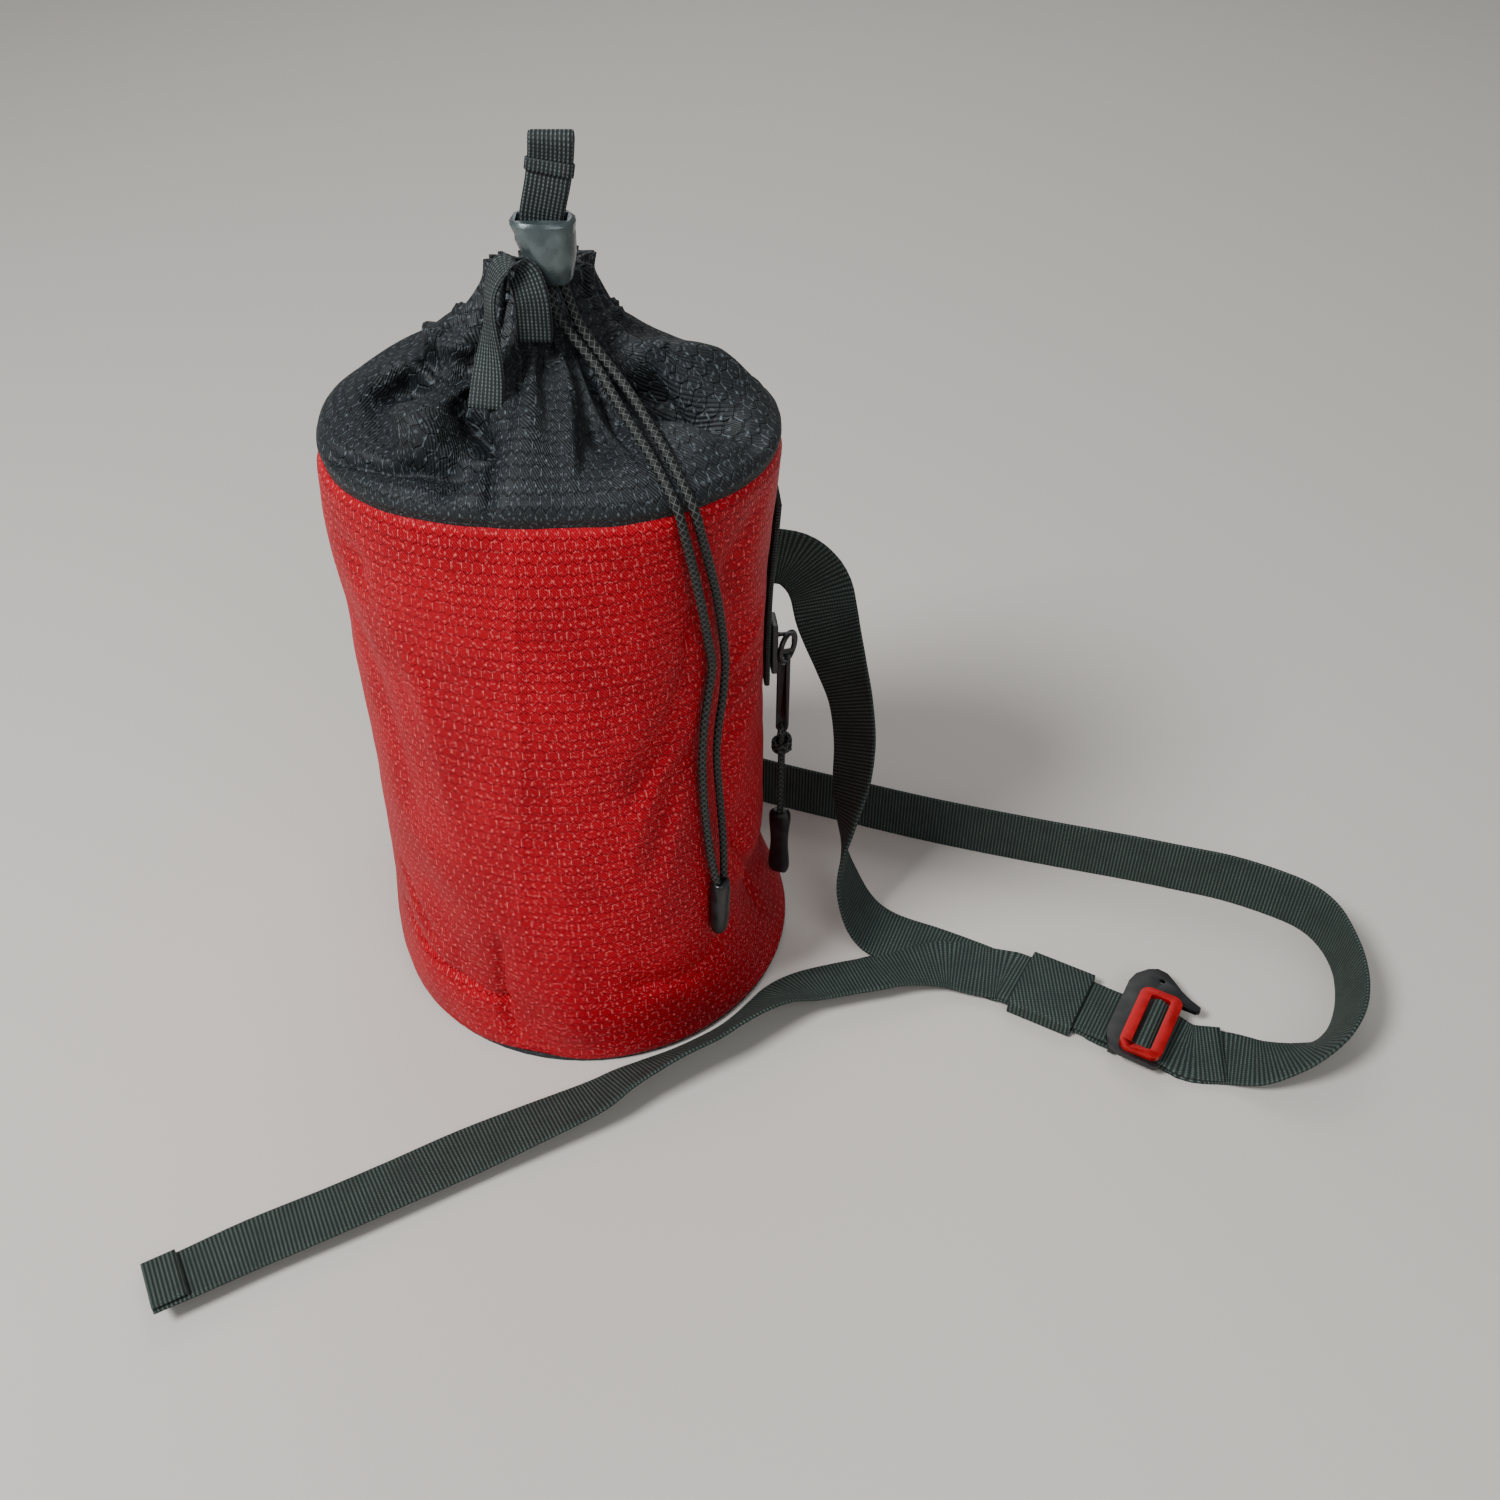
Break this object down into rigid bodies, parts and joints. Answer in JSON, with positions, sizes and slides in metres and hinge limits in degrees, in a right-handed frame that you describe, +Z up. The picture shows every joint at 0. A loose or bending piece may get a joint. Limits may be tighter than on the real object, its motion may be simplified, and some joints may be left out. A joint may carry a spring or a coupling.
{
  "type": "snack pouch",
  "caption": "Round waist pouch of red ripstop with a gathered black drawstring top, a cord lock, a side zip and a webbing belt with a slide buckle.",
  "frame": {"origin": "middle of the flat round base, on the surface the pouch stands on", "axes": "+Z up out of the mouth, -Y towards the front of the pouch, +X towards the side with the zip and the belt's buckle"},
  "size_m": [0.3486, 0.221, 0.2581],
  "materials": {
    "red_ripstop": "woven ripstop with a fine honeycomb of raised threads",
    "black_ripstop": "woven ripstop, black with a blue-grey sheen",
    "webbing": "ribbed dark green-black webbing",
    "braided_cord": "fine round braid",
    "moulded_plastic": "smooth black moulding with a soft shine",
    "black_metal": "black coated metal",
    "red_metal": "red anodised metal"
  },
  "bodies": {
    "root": {"base_panel": "black_ripstop", "body_shell": "red_ripstop", "cuff": "black_ripstop", "cord_channel": "black_ripstop", "grab_loop": "webbing", "cord_lock": "moulded_plastic", "pull_tab": "webbing", "cord_left": "braided_cord", "cord_right": "braided_cord", "cord_end": "moulded_plastic", "zip_tape": "webbing", "zip_slider": "black_metal", "zip_ring": "black_metal", "zip_link": "moulded_plastic", "zip_cord": "braided_cord", "zip_grip": "moulded_plastic", "buckle_frame": "red_metal", "buckle_plate": "black_metal", "belt_keeper": "webbing", "belt_strap": "webbing", "belt_carrier": "black_ripstop", "belt_hem": "webbing"}
  },
  "joints": []
}
